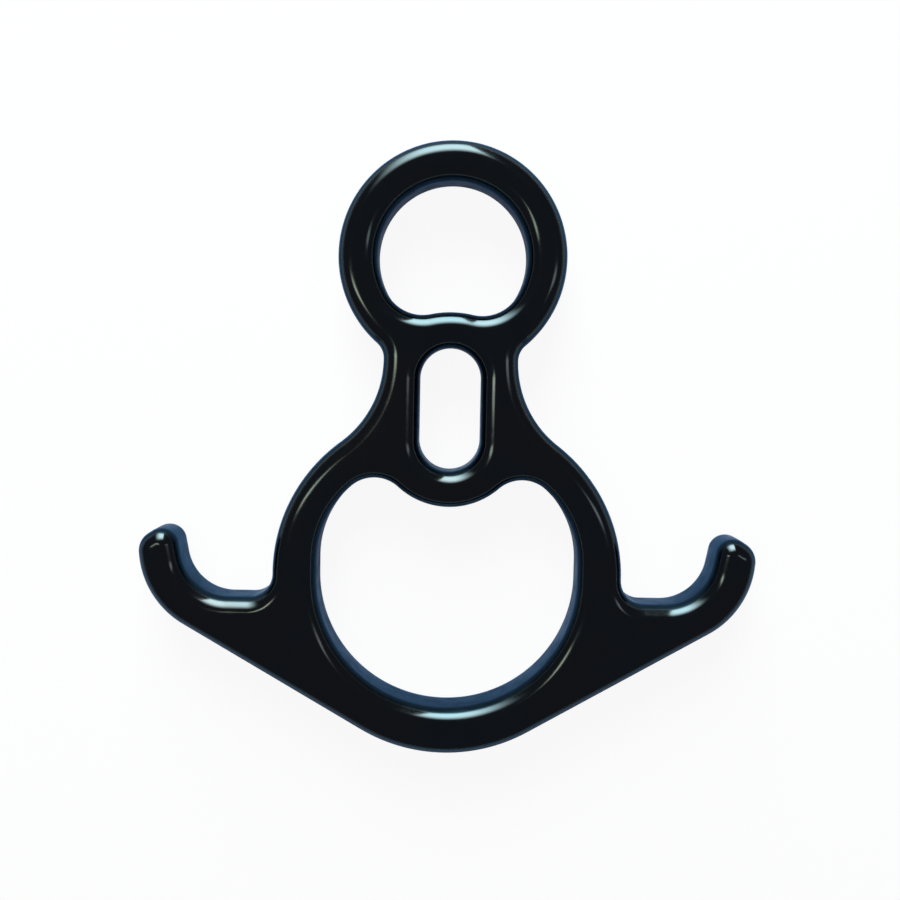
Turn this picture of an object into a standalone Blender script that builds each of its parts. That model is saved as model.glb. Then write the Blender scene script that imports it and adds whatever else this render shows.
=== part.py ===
"""Figure eight descender of the rescue kind, with two upturned ears.

It is one forged aluminium body, coated gloss black, and it lies flat. X runs from ear to ear, Y from the
large ring to the small ring, and Z up through the thickness. The origin is under the middle of the outline,
on the surface that the body lies on. Lengths are in metres.

Every edge line of the plan is a belt drawn tight round a row of circles: arcs joined by straight tangents.
A circle is (x, y, radius), with a radius below zero where the line passes round the outside of it, as in a
fillet. Heights along the plan are measured from the centre of the large ring until the outline is centred
at the end.
"""

import math

import bmesh
import bpy

# Section
THICKNESS = 0.015
EDGE_ROUNDING = 0.0040
LEAST_LAND = 0.0003

# Large ring: its foot, shoulders and haunches curve tighter than the ring, about centres off its own
LARGE_HOLE_RADIUS = 0.0328
FOOT_WALL = 0.0117
FOOT_DROP = 0.0023
SIDE_WALL = 0.0111
SHOULDER_SHIFT = 0.0021
SHOULDER_RISE = 0.0009
HAUNCH_SHIFT = 0.0076
HAUNCH_RISE = 0.0045
LOBE_RADIUS = 0.0088

# Boss that reaches down into the large hole, and the slot above it
BOSS_REACH = 0.0143
BOSS_RADIUS = 0.0190
BOSS_WALL = 0.0090
SLOT_WIDTH = 0.0154
SLOT_LENGTH = 0.0307

# Cross bar that closes the small hole from below
BAR_WIDTH = 0.0080
BAR_RISE = 0.0043
BAR_CREST = 0.0008

# Small ring
SMALL_HOLE_RADIUS = 0.0185
SMALL_HOLE_CORNER = 0.0100
SMALL_RING_WALL = 0.0097

# Neck
NECK_WALL = 0.0090
NECK_FILLET = 0.0050

# Ears
EAR_STOCK = 0.0104
HOOK_RADIUS = 0.0121
HOOK_FLAT = 0.0051
HOOK_FLOOR = -0.0052
ROOT_FILLET = 0.0060
TIP_HEIGHT = 0.0170
TIP_DROP = 0.0014
TIP_FLAT = 0.0005
TIP_SKEW = 0.00045
TIP_LEAN = 0.0004

# Facets
ARC_STEP = math.radians(10)
ARC_END_MARGIN = ARC_STEP / 3
TURN_SLACK = ARC_STEP / 10
ROUNDING_STEPS = 4
CLOSEST_POINTS = 0.00005
FILL_SCALE = 1024
SHARP_ANGLE = math.radians(35)

# Coating
COATING_COLOUR = (0.006, 0.007, 0.009, 1.0)
COATING_ROUGHNESS = 0.12


def clear_scene():
    for old in list(bpy.data.objects):
        bpy.data.objects.remove(old)


def mirrored(circles):
    """The same circles on the other side of the middle line, in the order that carries the belt on."""
    return [(-x, y, radius) for x, y, radius in reversed(circles)]


def where_circles_meet(first, second):
    """The crossing of two circles on the left of the line from the first centre to the second."""
    (ax, ay, ar), (bx, by, br) = first, second
    apart = math.hypot(bx - ax, by - ay)
    along = (ar**2 - br**2 + apart**2) / (2 * apart)
    aside = math.sqrt(ar**2 - along**2)
    ux, uy = (bx - ax) / apart, (by - ay) / apart
    return ax + along * ux - aside * uy, ay + along * uy + aside * ux


def boss_height():
    return LARGE_HOLE_RADIUS - BOSS_REACH


def slot_circles():
    end = SLOT_WIDTH / 2
    slot_foot = boss_height() + BOSS_WALL
    return [(0, slot_foot + end, end), (0, slot_foot + SLOT_LENGTH - end, end)]


def bar_height():
    return boss_height() + BOSS_WALL + SLOT_LENGTH + BAR_WIDTH


def small_ring_height():
    return bar_height() + SMALL_HOLE_RADIUS - BAR_RISE


def small_hole_circles():
    """The round hole with its two lower corners, and the crest of the bar between their dips."""
    centre = small_ring_height()
    dip = bar_height()
    corner_y = dip + SMALL_HOLE_CORNER
    corner_x = math.sqrt((SMALL_HOLE_RADIUS - SMALL_HOLE_CORNER) ** 2 - (centre - corner_y) ** 2)
    crest = dip + BAR_CREST
    drop = corner_y - crest
    crest_radius = (corner_x**2 + drop**2 - SMALL_HOLE_CORNER**2) / (2 * BAR_CREST)
    return [
        (0, centre, SMALL_HOLE_RADIUS),
        (-corner_x, corner_y, SMALL_HOLE_CORNER),
        (0, crest - crest_radius, -crest_radius),
        (corner_x, corner_y, SMALL_HOLE_CORNER),
    ]


def large_hole_circles():
    """The round hole, its tighter haunches, and a lobe on each side of the boss."""
    haunch_radius = LARGE_HOLE_RADIUS - HAUNCH_SHIFT
    boss_y = boss_height() + BOSS_RADIUS
    lobe_x, lobe_y = where_circles_meet(
        (0, boss_y, BOSS_RADIUS + LOBE_RADIUS),
        (HAUNCH_SHIFT, HAUNCH_RISE, haunch_radius - LOBE_RADIUS),
    )
    side = [(HAUNCH_SHIFT, HAUNCH_RISE, haunch_radius), (lobe_x, lobe_y, LOBE_RADIUS)]
    return [(0, 0, LARGE_HOLE_RADIUS), *side, (0, boss_y, -BOSS_RADIUS), *mirrored(side)]


def shoulder_circle():
    return SHOULDER_SHIFT, SHOULDER_RISE, LARGE_HOLE_RADIUS + SIDE_WALL - SHOULDER_SHIFT


def root_circle():
    """The fillet that touches both the shoulder and the floor of the hook."""
    shoulder_x, shoulder_y, shoulder_radius = shoulder_circle()
    root_y = HOOK_FLOOR + ROOT_FILLET
    aside = math.sqrt((shoulder_radius + ROOT_FILLET) ** 2 - (root_y - shoulder_y) ** 2)
    return shoulder_x + aside, root_y, -ROOT_FILLET


def tip_corners():
    """The radii of an ear tip's outer and inner corners, which share the width of the stock."""
    middle = (EAR_STOCK - TIP_LEAN - TIP_FLAT) / 2
    return middle + TIP_SKEW, middle - TIP_SKEW


def ear_circles():
    """One ear from its outer bend round the tip to the floor of the hook."""
    bend_x = root_circle()[0] + HOOK_FLAT
    bend_y = HOOK_FLOOR + HOOK_RADIUS
    outer_corner, inner_corner = tip_corners()
    inner_x = bend_x + HOOK_RADIUS + TIP_LEAN + inner_corner
    inner_y = HOOK_FLOOR + TIP_HEIGHT - inner_corner
    return [
        (bend_x, bend_y, HOOK_RADIUS + EAR_STOCK),
        (inner_x + TIP_FLAT, inner_y - TIP_DROP, outer_corner),
        (inner_x, inner_y, inner_corner),
        (bend_x, bend_y, -HOOK_RADIUS),
    ]


def neck_circles():
    """From the root of the ear over the shoulder to the small ring, each circle touching the next."""
    shoulder_x, shoulder_y, shoulder_radius = shoulder_circle()
    waist = SLOT_WIDTH / 2 + NECK_WALL
    ring_radius = SMALL_HOLE_RADIUS + SMALL_RING_WALL
    below_ring = math.sqrt((ring_radius + NECK_FILLET) ** 2 - (waist + NECK_FILLET) ** 2)
    waist_y = small_ring_height() - below_ring
    inward = waist - shoulder_x
    rise = waist_y - shoulder_y
    flare = (inward**2 + rise**2 - shoulder_radius**2) / (2 * (shoulder_radius - inward))
    return [
        root_circle(),
        shoulder_circle(),
        (waist + flare, waist_y, -flare),
        (waist + NECK_FILLET, waist_y, -NECK_FILLET),
    ]


def outline_circles():
    foot = (0, -FOOT_DROP, LARGE_HOLE_RADIUS + FOOT_WALL - FOOT_DROP)
    ring = (0, small_ring_height(), SMALL_HOLE_RADIUS + SMALL_RING_WALL)
    side = ear_circles() + neck_circles()
    return [foot, *side, ring, *mirrored(side)]


def belt_directions(circles):
    """The heading of the straight tangent that leaves each circle for the next one.

    Where one circle touches the next from inside, the tangent has no length and the ratio below is 1, or a
    hair more by rounding, which the limits take off.
    """
    headings = []
    for (ax, ay, ar), (bx, by, br) in zip(circles, circles[1:] + circles[:1]):
        apart = math.hypot(bx - ax, by - ay)
        ratio = max(-1.0, min(1.0, (br - ar) / apart))
        headings.append(math.atan2(by - ay, bx - ax) - math.asin(ratio))
    return headings


def arc_headings(start, end, turns_left):
    """Headings along one arc: its ends and each whole step between them, so that the extremes are points.

    A turn within TURN_SLACK of a full circle is none at all, brought round by rounding.
    """
    full = 2 * math.pi
    turn = (end - start) % full if turns_left else -((start - end) % full)
    if abs(turn) > full - TURN_SLACK:
        turn = 0
    low, high = sorted((start, start + turn))
    first = math.ceil((low + ARC_END_MARGIN) / ARC_STEP)
    last = math.floor((high - ARC_END_MARGIN) / ARC_STEP)
    between = [step * ARC_STEP for step in range(first, last + 1)]
    ends = [low, *between, high] if turn else [start]
    return ends if turns_left else ends[::-1]


def point_at(station, inset):
    """Where a station's point lies when the belt is drawn in by inset towards its left."""
    x, y, radius, heading = station
    reach = radius - inset
    return x + reach * math.sin(heading), y - reach * math.cos(heading)


def belt_stations(circles):
    """Stations (centre x, centre y, radius, heading) round the belt, counter-clockwise, with none twice."""
    headings = belt_directions(circles)
    stations = []
    for place, (x, y, radius) in enumerate(circles):
        for heading in arc_headings(headings[place - 1], headings[place], radius > 0):
            stations.append((x, y, radius, heading))
    before = stations[-1:] + stations[:-1]
    return [
        station
        for station, last in zip(stations, before)
        if math.dist(point_at(station, 0), point_at(last, 0)) > CLOSEST_POINTS
    ]


def edge_rounding():
    """The rounding, held back where a change of size leaves the metal too narrow for it."""
    walls = [
        THICKNESS,
        FOOT_WALL,
        SIDE_WALL,
        BOSS_WALL,
        BAR_WIDTH,
        SMALL_RING_WALL,
        EAR_STOCK,
        NECK_WALL,
    ]
    return min(EDGE_ROUNDING, (min(walls) - LEAST_LAND) / 2, min(tip_corners()) - LEAST_LAND)


def section_steps():
    """(inset, height) from the edge of the back land, round the side, to the edge of the front land."""
    rounding = edge_rounding()
    quarter = [math.pi / 2 * step / ROUNDING_STEPS for step in range(ROUNDING_STEPS + 1)]
    back = [(rounding * (1 - math.sin(a)), rounding * (1 - math.cos(a))) for a in quarter]
    front = [(inset, THICKNESS - height) for inset, height in reversed(back)]
    return back + front


def loop_edges(mesh, row):
    return [mesh.edges.get((row[place - 1], row[place])) for place in range(len(row))]


def add_side(mesh, circles, sign, middle):
    """The rounded side of one edge line. Returns the edges of its back and front lands."""
    stations = belt_stations(circles)
    rows = []
    for inset, height in section_steps():
        points = [point_at(station, sign * inset) for station in stations]
        rows.append([mesh.verts.new((x, y - middle, height)) for x, y in points])
    for low, high in zip(rows, rows[1:]):
        for place in range(len(low)):
            mesh.faces.new((low[place - 1], low[place], high[place], high[place - 1]))
    return [loop_edges(mesh, rows[0]), loop_edges(mesh, rows[-1])]


def fill_lands(mesh, lands):
    """The flat back and front faces, each between the outline and the three holes.

    The fill takes points 0.03 mm apart for one, so it is done on the mesh enlarged, by a power of two, which
    rounds nothing.
    """
    bmesh.ops.scale(mesh, vec=(FILL_SCALE,) * 3, verts=mesh.verts)
    for loops in zip(*lands):
        bmesh.ops.triangle_fill(mesh, use_beauty=True, edges=[edge for loop in loops for edge in loop])
    bmesh.ops.scale(mesh, vec=(1 / FILL_SCALE,) * 3, verts=mesh.verts)


def body_mesh():
    outline = outline_circles()
    heights = [point_at(station, 0)[1] for station in belt_stations(outline)]
    middle = (min(heights) + max(heights)) / 2
    mesh = bmesh.new()
    lands = [add_side(mesh, outline, 1, middle)]
    for hole in (large_hole_circles(), slot_circles(), small_hole_circles()):
        lands.append(add_side(mesh, hole, -1, middle))
    fill_lands(mesh, lands)
    bmesh.ops.recalc_face_normals(mesh, faces=mesh.faces)
    return mesh


def coating():
    material = bpy.data.materials.new("gloss_black_coating")
    material.use_nodes = True
    shader = material.node_tree.nodes["Principled BSDF"]
    shader.inputs["Base Color"].default_value = COATING_COLOUR
    shader.inputs["Roughness"].default_value = COATING_ROUGHNESS
    shader.inputs["Metallic"].default_value = 0.0
    return material


def add_body():
    mesh = body_mesh()
    data = bpy.data.meshes.new("descender_body")
    mesh.to_mesh(data)
    mesh.free()
    data.materials.append(coating())
    data.shade_smooth()
    data.set_sharp_from_angle(angle=SHARP_ANGLE)
    body = bpy.data.objects.new("descender_body", data)
    bpy.context.scene.collection.objects.link(body)
    return body


clear_scene()
add_body()
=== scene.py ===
import math

import bmesh
import bpy
from mathutils import Matrix, Vector


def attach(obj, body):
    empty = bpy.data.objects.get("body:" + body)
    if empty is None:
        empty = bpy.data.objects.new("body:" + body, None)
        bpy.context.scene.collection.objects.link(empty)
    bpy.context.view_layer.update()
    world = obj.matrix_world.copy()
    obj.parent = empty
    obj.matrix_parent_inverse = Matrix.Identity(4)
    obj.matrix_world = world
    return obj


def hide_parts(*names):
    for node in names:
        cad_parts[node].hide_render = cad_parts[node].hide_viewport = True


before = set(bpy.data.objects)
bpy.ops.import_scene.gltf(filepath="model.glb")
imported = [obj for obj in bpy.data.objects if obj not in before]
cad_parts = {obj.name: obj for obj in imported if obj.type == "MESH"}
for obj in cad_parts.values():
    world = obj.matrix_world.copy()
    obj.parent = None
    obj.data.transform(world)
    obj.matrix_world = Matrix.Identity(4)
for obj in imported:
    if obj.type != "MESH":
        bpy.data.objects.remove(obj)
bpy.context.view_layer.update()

# The looks of a figure eight descender: one forged aluminium body under a gloss black coating.
# X runs from ear to ear, Y from the large ring to the small ring, Z up. Lengths are in metres.
# The forging's edge lines are belts drawn tight round rows of circles. A circle is (x, y, radius), with a
# radius below zero where the line bends the other way round it.

# Section through the thickness
THICKNESS = 0.015
EDGE_ROUNDING = 0.0040

# Large ring: its foot, shoulders and haunches curve tighter than the ring, about centres off its own
LARGE_HOLE_RADIUS = 0.0328
FOOT_WALL = 0.0117
FOOT_DROP = 0.0023
SIDE_WALL = 0.0111
SHOULDER_SHIFT = 0.0021
SHOULDER_RISE = 0.0009
HAUNCH_SHIFT = 0.0076
HAUNCH_RISE = 0.0045
LOBE_RADIUS = 0.0088

# Boss that reaches down into the large hole, and the slot above it
BOSS_REACH = 0.0143
BOSS_RADIUS = 0.0190
BOSS_WALL = 0.0090
SLOT_WIDTH = 0.0154
SLOT_LENGTH = 0.0307

# Cross bar that closes the small hole from below
BAR_WIDTH = 0.0080
BAR_RISE = 0.0043
BAR_CREST = 0.0008

# Small ring
SMALL_HOLE_RADIUS = 0.0185
SMALL_HOLE_CORNER = 0.0100
SMALL_RING_WALL = 0.0097

# Neck
NECK_WALL = 0.0090
NECK_FILLET = 0.0050

# Ears
EAR_STOCK = 0.0104
HOOK_RADIUS = 0.0121
HOOK_FLAT = 0.0051
HOOK_FLOOR = -0.0052
ROOT_FILLET = 0.0060
TIP_HEIGHT = 0.0170
TIP_DROP = 0.0014
TIP_FLAT = 0.0005
TIP_SKEW = 0.00045
TIP_LEAN = 0.0004

# Fineness of the shown surface
ARC_STEP = math.radians(2)
ARC_END_MARGIN = ARC_STEP / 3
TURN_SLACK = ARC_STEP / 10
ROUNDING_STEPS = 14
CLOSEST_POINTS = 0.00001
FILL_SCALE = 1024

# Camera: close above the body, a little towards the small ring, turned by the photograph's slight roll
CAMERA_PLACE = Vector((0.0002, 0.0196, 0.2639))
CAMERA_AIM = Vector((0.0002, 0.0005, 0.0075))
CAMERA_ROLL = math.radians(1.13)
CAMERA_LENS = 40.6
CAMERA_NEAR = 0.01
SENSOR_WIDTH = 36.0

# Coating: a warm and a cool tone in soft clouds. Where the upright part of the normal falls from SIDE_STARTS
# to SIDE_FULL, the colour turns to a darker side black, painted shade that dims what the sides mirror, and
# the gloss to satin.
WARM_BLACK = (0.050, 0.050, 0.051, 1.0)
COOL_BLACK = (0.030, 0.051, 0.062, 1.0)
# painted shade: the sides' colour, darker so that they mirror less of the pale floor
PAINTED_SIDE_SHADE = (0.009, 0.018, 0.028, 1.0)
# painted reflection: the tint that turns the metal's grazing reflections blue
PAINTED_BLUE_REFLECTION = (0.55, 0.70, 1.0, 1.0)
CLOUD_SIZE = 0.020
CLOUD_DETAIL = 3.0
FACE_ROUGHNESS = 0.12
SIDE_ROUGHNESS = 0.33
SIDE_STARTS = 0.70
SIDE_FULL = 0.56
SMUDGE_SIZE = 0.004
SMUDGE_DETAIL = 4.0
SMUDGE_STARTS = 0.35
SMUDGE_FULL = 0.75
LEAST_SMUDGE = 0.9
MOST_SMUDGE = 1.25
PEEL_SIZE = 0.005
PEEL_DETAIL = 2.0
PEEL_DEPTH = 0.000010

# Floor: the shares are those of plain white in what the camera sees of it and in what the metal mirrors
FLOOR_DROP = 0.0001
FLOOR_REACH = 2.4
COVE_RADIUS = 0.60
COVE_STEPS = 12
FLOOR_SIDES = 64
FLOOR_COLOUR = (0.9, 0.9, 0.9, 1.0)
FLOOR_WHITE_SHARE = 0.92
MIRRORED_WHITE_SHARE = 0.25

# Lamps: angles are in degrees, as the body sees them. A fade is a share of the lamp's width or height.
LAMP_AIM = Vector((0, 0, 0.01))
ROOM_COLOUR = (0.13, 0.125, 0.145, 1.0)
STRIP = {
    "azimuth": -15,
    "from_vertical": 66,
    "across": 48,
    "along": 72,
    "distance": 1.2,
    "radiance": 16,
    "colour": (0.87, 1.0, 0.95),
}
LEFT_LAMP = {
    "azimuth": -85,
    "from_vertical": 28,
    "across": 9,
    "along": 26,
    "distance": 0.45,
    "radiance": 7.4,
    "colour": (1.0, 0.94, 0.68),
}
RIGHT_LAMP = {
    "azimuth": 85,
    "from_vertical": 35,
    "across": 9,
    "along": 26,
    "distance": 0.9,
    "radiance": 2.6,
    "colour": (1.0, 0.92, 0.86),
}
STRIP_FADE = {"from_left": 0.64, "from_right": 0.05, "from_ends": 0.43}
SIDE_LAMP_FADE = {"from_left": 0.4, "from_right": 0.4, "from_ends": 0.4}


def mirrored(circles):
    """The same circles on the other side of the middle line, in the order that carries the belt on."""
    return [(-x, y, radius) for x, y, radius in reversed(circles)]


def where_circles_meet(first, second):
    """The crossing of two circles on the left of the line from the first centre to the second."""
    (ax, ay, ar), (bx, by, br) = first, second
    apart = math.hypot(bx - ax, by - ay)
    along = (ar**2 - br**2 + apart**2) / (2 * apart)
    aside = math.sqrt(ar**2 - along**2)
    ux, uy = (bx - ax) / apart, (by - ay) / apart
    return ax + along * ux - aside * uy, ay + along * uy + aside * ux


def boss_height():
    return LARGE_HOLE_RADIUS - BOSS_REACH


def slot_circles():
    end = SLOT_WIDTH / 2
    slot_foot = boss_height() + BOSS_WALL
    return [(0, slot_foot + end, end), (0, slot_foot + SLOT_LENGTH - end, end)]


def bar_height():
    return boss_height() + BOSS_WALL + SLOT_LENGTH + BAR_WIDTH


def small_ring_height():
    return bar_height() + SMALL_HOLE_RADIUS - BAR_RISE


def small_hole_circles():
    """The round hole with its two lower corners, and the crest of the bar between their dips."""
    centre = small_ring_height()
    dip = bar_height()
    corner_y = dip + SMALL_HOLE_CORNER
    corner_x = math.sqrt((SMALL_HOLE_RADIUS - SMALL_HOLE_CORNER) ** 2 - (centre - corner_y) ** 2)
    crest = dip + BAR_CREST
    drop = corner_y - crest
    crest_radius = (corner_x**2 + drop**2 - SMALL_HOLE_CORNER**2) / (2 * BAR_CREST)
    return [
        (0, centre, SMALL_HOLE_RADIUS),
        (-corner_x, corner_y, SMALL_HOLE_CORNER),
        (0, crest - crest_radius, -crest_radius),
        (corner_x, corner_y, SMALL_HOLE_CORNER),
    ]


def large_hole_circles():
    """The round hole, its tighter haunches, and a lobe on each side of the boss."""
    haunch_radius = LARGE_HOLE_RADIUS - HAUNCH_SHIFT
    boss_y = boss_height() + BOSS_RADIUS
    lobe_x, lobe_y = where_circles_meet(
        (0, boss_y, BOSS_RADIUS + LOBE_RADIUS),
        (HAUNCH_SHIFT, HAUNCH_RISE, haunch_radius - LOBE_RADIUS),
    )
    side = [(HAUNCH_SHIFT, HAUNCH_RISE, haunch_radius), (lobe_x, lobe_y, LOBE_RADIUS)]
    return [(0, 0, LARGE_HOLE_RADIUS), *side, (0, boss_y, -BOSS_RADIUS), *mirrored(side)]


def shoulder_circle():
    return SHOULDER_SHIFT, SHOULDER_RISE, LARGE_HOLE_RADIUS + SIDE_WALL - SHOULDER_SHIFT


def root_circle():
    """The fillet that touches both the shoulder and the floor of the hook."""
    shoulder_x, shoulder_y, shoulder_radius = shoulder_circle()
    root_y = HOOK_FLOOR + ROOT_FILLET
    aside = math.sqrt((shoulder_radius + ROOT_FILLET) ** 2 - (root_y - shoulder_y) ** 2)
    return shoulder_x + aside, root_y, -ROOT_FILLET


def tip_corners():
    """The radii of an ear tip's outer and inner corners, which share the width of the stock."""
    middle = (EAR_STOCK - TIP_LEAN - TIP_FLAT) / 2
    return middle + TIP_SKEW, middle - TIP_SKEW


def ear_circles():
    """One ear from its outer bend round the tip to the floor of the hook."""
    bend_x = root_circle()[0] + HOOK_FLAT
    bend_y = HOOK_FLOOR + HOOK_RADIUS
    outer_corner, inner_corner = tip_corners()
    inner_x = bend_x + HOOK_RADIUS + TIP_LEAN + inner_corner
    inner_y = HOOK_FLOOR + TIP_HEIGHT - inner_corner
    return [
        (bend_x, bend_y, HOOK_RADIUS + EAR_STOCK),
        (inner_x + TIP_FLAT, inner_y - TIP_DROP, outer_corner),
        (inner_x, inner_y, inner_corner),
        (bend_x, bend_y, -HOOK_RADIUS),
    ]


def neck_circles():
    """From the root of the ear over the shoulder to the small ring, each circle touching the next."""
    shoulder_x, shoulder_y, shoulder_radius = shoulder_circle()
    waist = SLOT_WIDTH / 2 + NECK_WALL
    ring_radius = SMALL_HOLE_RADIUS + SMALL_RING_WALL
    below_ring = math.sqrt((ring_radius + NECK_FILLET) ** 2 - (waist + NECK_FILLET) ** 2)
    waist_y = small_ring_height() - below_ring
    inward = waist - shoulder_x
    rise = waist_y - shoulder_y
    flare = (inward**2 + rise**2 - shoulder_radius**2) / (2 * (shoulder_radius - inward))
    return [
        root_circle(),
        shoulder_circle(),
        (waist + flare, waist_y, -flare),
        (waist + NECK_FILLET, waist_y, -NECK_FILLET),
    ]


def outline_circles():
    foot = (0, -FOOT_DROP, LARGE_HOLE_RADIUS + FOOT_WALL - FOOT_DROP)
    ring = (0, small_ring_height(), SMALL_HOLE_RADIUS + SMALL_RING_WALL)
    side = ear_circles() + neck_circles()
    return [foot, *side, ring, *mirrored(side)]


def belt_directions(circles):
    """The heading of the straight tangent that leaves each circle for the next one.

    Where one circle touches the next from inside, the tangent has no length and the ratio below is 1, or a
    hair more by rounding, which the limits take off.
    """
    headings = []
    for (ax, ay, ar), (bx, by, br) in zip(circles, circles[1:] + circles[:1]):
        apart = math.hypot(bx - ax, by - ay)
        ratio = max(-1.0, min(1.0, (br - ar) / apart))
        headings.append(math.atan2(by - ay, bx - ax) - math.asin(ratio))
    return headings


def arc_headings(start, end, turns_left):
    """Headings along one arc: its ends and each whole step between them, so that the extremes are points.

    A turn within TURN_SLACK of a full circle is none at all, brought round by rounding.
    """
    full = 2 * math.pi
    turn = (end - start) % full if turns_left else -((start - end) % full)
    if abs(turn) > full - TURN_SLACK:
        turn = 0
    low, high = sorted((start, start + turn))
    first = math.ceil((low + ARC_END_MARGIN) / ARC_STEP)
    last = math.floor((high - ARC_END_MARGIN) / ARC_STEP)
    between = [step * ARC_STEP for step in range(first, last + 1)]
    ends = [low, *between, high] if turn else [start]
    return ends if turns_left else ends[::-1]


def point_at(station, inset):
    """Where a station's point lies when the belt is drawn in by inset towards its left."""
    x, y, radius, heading = station
    reach = radius - inset
    return x + reach * math.sin(heading), y - reach * math.cos(heading)


def belt_stations(circles):
    """Stations (centre x, centre y, radius, heading) round the belt, counter-clockwise, with none twice."""
    headings = belt_directions(circles)
    stations = []
    for place, (x, y, radius) in enumerate(circles):
        for heading in arc_headings(headings[place - 1], headings[place], radius > 0):
            stations.append((x, y, radius, heading))
    before = stations[-1:] + stations[:-1]
    return [
        station
        for station, last in zip(stations, before)
        if math.dist(point_at(station, 0), point_at(last, 0)) > CLOSEST_POINTS
    ]


def section_steps():
    """(inset, height) from the edge of the back land, round the side, to the edge of the front land."""
    quarter = [math.pi / 2 * step / ROUNDING_STEPS for step in range(ROUNDING_STEPS + 1)]
    back = [(EDGE_ROUNDING * (1 - math.sin(a)), EDGE_ROUNDING * (1 - math.cos(a))) for a in quarter]
    front = [(inset, THICKNESS - height) for inset, height in reversed(back)]
    return back + front


def loop_edges(mesh, row):
    return [mesh.edges.get((row[place - 1], row[place])) for place in range(len(row))]


def add_side(mesh, circles, sign, middle):
    """The rounded side of one edge line. Returns the edges of its back and front lands."""
    stations = belt_stations(circles)
    rows = []
    for inset, height in section_steps():
        points = [point_at(station, sign * inset) for station in stations]
        rows.append([mesh.verts.new((x, y - middle, height)) for x, y in points])
    for low, high in zip(rows, rows[1:]):
        for place in range(len(low)):
            mesh.faces.new((low[place - 1], low[place], high[place], high[place - 1]))
    return [loop_edges(mesh, rows[0]), loop_edges(mesh, rows[-1])]


def fill_lands(mesh, lands):
    """The flat back and front faces, each between the outline and the three holes.

    The fill takes points 0.03 mm apart for one, so it is done on the mesh enlarged, by a power of two, which
    rounds nothing.
    """
    bmesh.ops.scale(mesh, vec=(FILL_SCALE,) * 3, verts=mesh.verts)
    for loops in zip(*lands):
        bmesh.ops.triangle_fill(mesh, use_beauty=True, edges=[edge for loop in loops for edge in loop])
    bmesh.ops.scale(mesh, vec=(1 / FILL_SCALE,) * 3, verts=mesh.verts)


def forged_body():
    """The whole forging as one smooth closed surface."""
    outline = outline_circles()
    heights = [point_at(station, 0)[1] for station in belt_stations(outline)]
    middle = (min(heights) + max(heights)) / 2
    mesh = bmesh.new()
    lands = [add_side(mesh, outline, 1, middle)]
    for hole in (large_hole_circles(), slot_circles(), small_hole_circles()):
        lands.append(add_side(mesh, hole, -1, middle))
    fill_lands(mesh, lands)
    bmesh.ops.recalc_face_normals(mesh, faces=mesh.faces)
    data = bpy.data.meshes.new("forged_body")
    mesh.to_mesh(data)
    mesh.free()
    data.shade_smooth()
    body = bpy.data.objects.new("forged_body", data)
    bpy.context.scene.collection.objects.link(body)
    return body


def node(tree, kind, **settings):
    made = tree.nodes.new(kind)
    for name, value in settings.items():
        setattr(made, name, value)
    return made


def link(tree, source, output, target, entry):
    tree.links.new(source.outputs[output], target.inputs[entry])


def calculate(tree, operation, first, second):
    """A maths node on two values, each of them a number or a (node, output) pair."""
    made = node(tree, "ShaderNodeMath", operation=operation)
    for entry, value in enumerate((first, second)):
        if isinstance(value, tuple):
            link(tree, *value, made, entry)
        else:
            made.inputs[entry].default_value = value
    return made


def map_range(tree, source, output, low, high, to_low, to_high):
    made = node(tree, "ShaderNodeMapRange", interpolation_type="SMOOTHSTEP")
    made.inputs["From Min"].default_value = low
    made.inputs["From Max"].default_value = high
    made.inputs["To Min"].default_value = to_low
    made.inputs["To Max"].default_value = to_high
    link(tree, source, output, made, "Value")
    return made


def noise(tree, coordinates, size, detail):
    made = node(tree, "ShaderNodeTexNoise")
    made.inputs["Scale"].default_value = 1 / size
    made.inputs["Detail"].default_value = detail
    link(tree, coordinates, "Object", made, "Vector")
    return made


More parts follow.
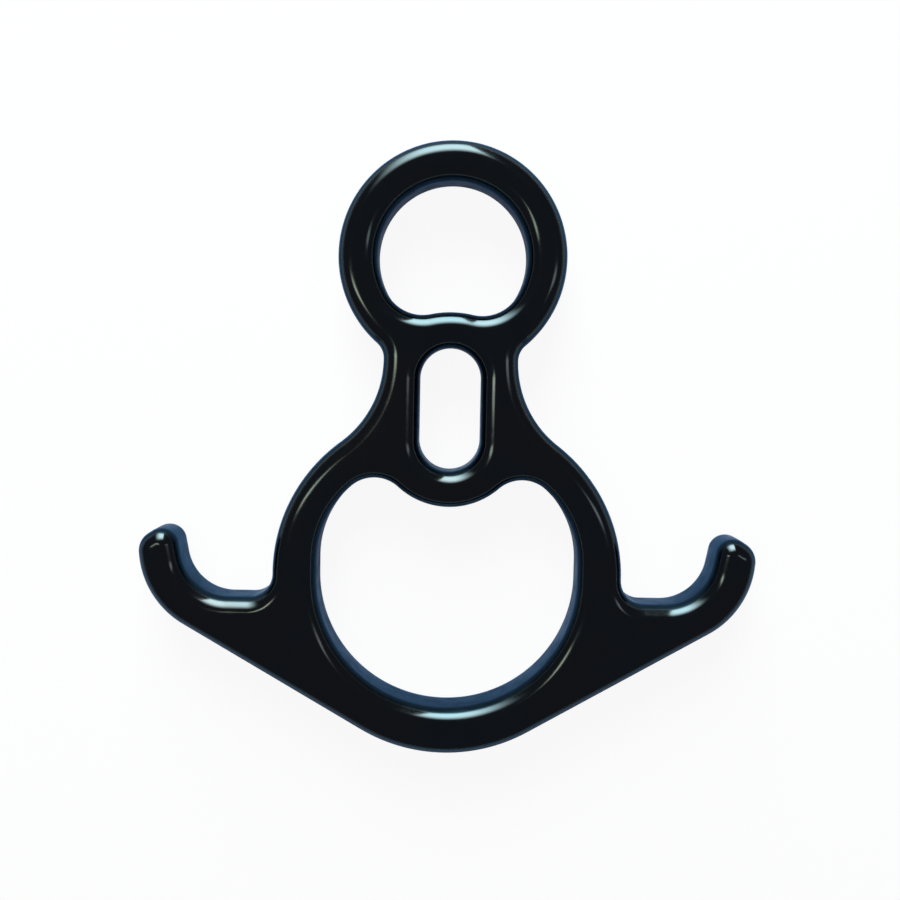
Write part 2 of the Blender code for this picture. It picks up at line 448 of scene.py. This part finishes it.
def coating():
    """Near-black metallic coating: smooth with a faint orange peel and satin on the sides, darker there as
    painted shade, and tinted blue at grazing angles as a painted reflection.
    """
    material = bpy.data.materials.new("gloss_black_coating")
    material.use_nodes = True
    tree = material.node_tree
    shader = tree.nodes["Principled BSDF"]
    shader.inputs["Metallic"].default_value = 1.0
    # Painted reflection: the tint turns what the metal mirrors at grazing angles blue.
    shader.inputs["Specular Tint"].default_value = PAINTED_BLUE_REFLECTION
    coordinates = node(tree, "ShaderNodeTexCoord")

    clouds = noise(tree, coordinates, CLOUD_SIZE, CLOUD_DETAIL)
    tone = node(tree, "ShaderNodeMix", data_type="RGBA")
    tone.inputs["A"].default_value = WARM_BLACK
    tone.inputs["B"].default_value = COOL_BLACK
    link(tree, clouds, "Fac", tone, "Factor")

    normal = node(tree, "ShaderNodeSeparateXYZ")
    link(tree, coordinates, "Normal", normal, "Vector")
    upright = node(tree, "ShaderNodeMath", operation="ABSOLUTE")
    link(tree, normal, "Z", upright, "Value")
    # Painted shade: the sides turn darker, so that they mirror less of the floor. The same mask turns the
    # gloss to satin.
    painted_side_shade_and_satin = map_range(tree, upright, "Value", SIDE_STARTS, SIDE_FULL, 0, 1)
    colour = node(tree, "ShaderNodeMix", data_type="RGBA")
    colour.inputs["B"].default_value = PAINTED_SIDE_SHADE
    link(tree, painted_side_shade_and_satin, "Result", colour, "Factor")
    link(tree, tone, "Result", colour, "A")
    link(tree, colour, "Result", shader, "Base Color")

    satin = map_range(tree, painted_side_shade_and_satin, "Result", 0, 1, FACE_ROUGHNESS, SIDE_ROUGHNESS)
    smudges = noise(tree, coordinates, SMUDGE_SIZE, SMUDGE_DETAIL)
    smudged = map_range(tree, smudges, "Fac", SMUDGE_STARTS, SMUDGE_FULL, LEAST_SMUDGE, MOST_SMUDGE)
    roughness = calculate(tree, "MULTIPLY", (satin, "Result"), (smudged, "Result"))
    link(tree, roughness, "Value", shader, "Roughness")

    peel = noise(tree, coordinates, PEEL_SIZE, PEEL_DETAIL)
    bump = node(tree, "ShaderNodeBump")
    bump.inputs["Strength"].default_value = 1.0
    bump.inputs["Distance"].default_value = PEEL_DEPTH
    link(tree, peel, "Fac", bump, "Height")
    link(tree, bump, "Normal", shader, "Normal")
    return material


def floor_mesh():
    """A round flat floor whose rim curves up into a low wall."""
    mesh = bmesh.new()
    section = [mesh.verts.new((0, 0, 0)), mesh.verts.new((FLOOR_REACH, 0, 0))]
    for step in range(1, COVE_STEPS + 1):
        turn = math.pi / 2 * step / COVE_STEPS
        out = FLOOR_REACH + COVE_RADIUS * math.sin(turn)
        section.append(mesh.verts.new((out, 0, COVE_RADIUS * (1 - math.cos(turn)))))
    edges = [mesh.edges.new(pair) for pair in zip(section, section[1:])]
    bmesh.ops.spin(
        mesh, geom=section + edges, axis=(0, 0, 1), cent=(0, 0, 0), angle=2 * math.pi, steps=FLOOR_SIDES
    )
    bmesh.ops.remove_doubles(mesh, verts=mesh.verts, dist=CLOSEST_POINTS)
    bmesh.ops.recalc_face_normals(mesh, faces=mesh.faces)
    data = bpy.data.meshes.new("floor")
    mesh.to_mesh(data)
    mesh.free()
    data.shade_smooth()
    return data


def floor():
    """A plain pale floor that the body lies on. It shows near white, and keeps a soft shadow."""
    data = floor_mesh()
    material = bpy.data.materials.new("pale_floor")
    material.use_nodes = True
    tree = material.node_tree
    tree.nodes.remove(tree.nodes["Principled BSDF"])
    matt = node(tree, "ShaderNodeBsdfDiffuse")
    matt.inputs["Color"].default_value = FLOOR_COLOUR
    white = node(tree, "ShaderNodeEmission")
    rays = node(tree, "ShaderNodeLightPath")
    to_camera = calculate(tree, "MULTIPLY", (rays, "Is Camera Ray"), FLOOR_WHITE_SHARE)
    indirect = calculate(tree, "MAXIMUM", (rays, "Is Glossy Ray"), (rays, "Is Transmission Ray"))
    mirrored_share = calculate(tree, "MULTIPLY", (indirect, "Value"), MIRRORED_WHITE_SHARE)
    share = calculate(tree, "MAXIMUM", (to_camera, "Value"), (mirrored_share, "Value"))
    mix = node(tree, "ShaderNodeMixShader")
    link(tree, share, "Value", mix, 0)
    link(tree, matt, "BSDF", mix, 1)
    link(tree, white, "Emission", mix, 2)
    link(tree, mix, "Shader", tree.nodes["Material Output"], "Surface")
    data.materials.append(material)
    plane = bpy.data.objects.new("floor", data)
    plane.location.z = -FLOOR_DROP
    bpy.context.scene.collection.objects.link(plane)


def lamp(name, azimuth, from_vertical, across, along, distance, radiance, colour):
    """A soft rectangular lamp aimed at the body. Its power is its radiance times pi times its area."""
    turn = math.radians(azimuth)
    lean = math.radians(from_vertical)
    way = Vector((math.sin(turn) * math.sin(lean), math.cos(turn) * math.sin(lean), math.cos(lean)))
    light = bpy.data.lights.new(name, "AREA")
    light.shape = "RECTANGLE"
    light.size = 2 * distance * math.tan(math.radians(across / 2))
    light.size_y = 2 * distance * math.tan(math.radians(along / 2))
    light.energy = radiance * math.pi * light.size * light.size_y
    light.color = colour
    holder = bpy.data.objects.new(name, light)
    level = Vector((math.cos(turn), -math.sin(turn), 0))
    facing = Matrix((level, way.cross(level), way)).transposed().to_4x4()
    holder.matrix_world = Matrix.Translation(LAMP_AIM + way * distance) @ facing
    bpy.context.scene.collection.objects.link(holder)
    return holder


def fade(holder, from_left, from_right, from_ends):
    """Dims a lamp towards its edges, each over the given share of its width or height."""
    holder.data.use_nodes = True
    tree = holder.data.node_tree
    surface = node(tree, "ShaderNodeNewGeometry")
    place = node(tree, "ShaderNodeSeparateXYZ")
    link(tree, surface, "Parametric", place, "Vector")
    edges = [
        map_range(tree, place, "X", 0, from_left, 0, 1),
        map_range(tree, place, "X", 1, 1 - from_right, 0, 1),
        map_range(tree, place, "Y", 0, from_ends, 0, 1),
        map_range(tree, place, "Y", 1, 1 - from_ends, 0, 1),
    ]
    dimmed = 1.0
    for edge in edges:
        dimmed = (calculate(tree, "MULTIPLY", (edge, "Result"), dimmed), "Value")
    link(tree, *dimmed, tree.nodes["Emission"], "Strength")


def lights():
    """A tall strip behind the small ring that fades out to the left, and a small lamp on each side."""
    fade(lamp("strip", **STRIP), **STRIP_FADE)
    fade(lamp("left_lamp", **LEFT_LAMP), **SIDE_LAMP_FADE)
    fade(lamp("right_lamp", **RIGHT_LAMP), **SIDE_LAMP_FADE)
    world = bpy.data.worlds.new("dim_room")
    world.use_nodes = True
    world.node_tree.nodes["Background"].inputs["Color"].default_value = ROOM_COLOUR
    bpy.context.scene.world = world


def camera():
    lens = bpy.data.cameras.new("camera")
    lens.lens = CAMERA_LENS
    lens.sensor_width = SENSOR_WIDTH
    lens.clip_start = CAMERA_NEAR
    holder = bpy.data.objects.new("camera", lens)
    back = (CAMERA_PLACE - CAMERA_AIM).normalized()
    right = Vector((0, 1, 0)).cross(back).normalized()
    facing = Matrix((right, back.cross(right), back)).transposed().to_4x4()
    holder.matrix_world = Matrix.Translation(CAMERA_PLACE) @ facing @ Matrix.Rotation(CAMERA_ROLL, 4, "Z")
    bpy.context.scene.collection.objects.link(holder)
    bpy.context.scene.camera = holder


body = forged_body()
body.data.materials.append(coating())
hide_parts("descender_body")
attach(body, "root")
floor()
lights()
camera()
bpy.context.scene.view_settings.view_transform = "Standard"
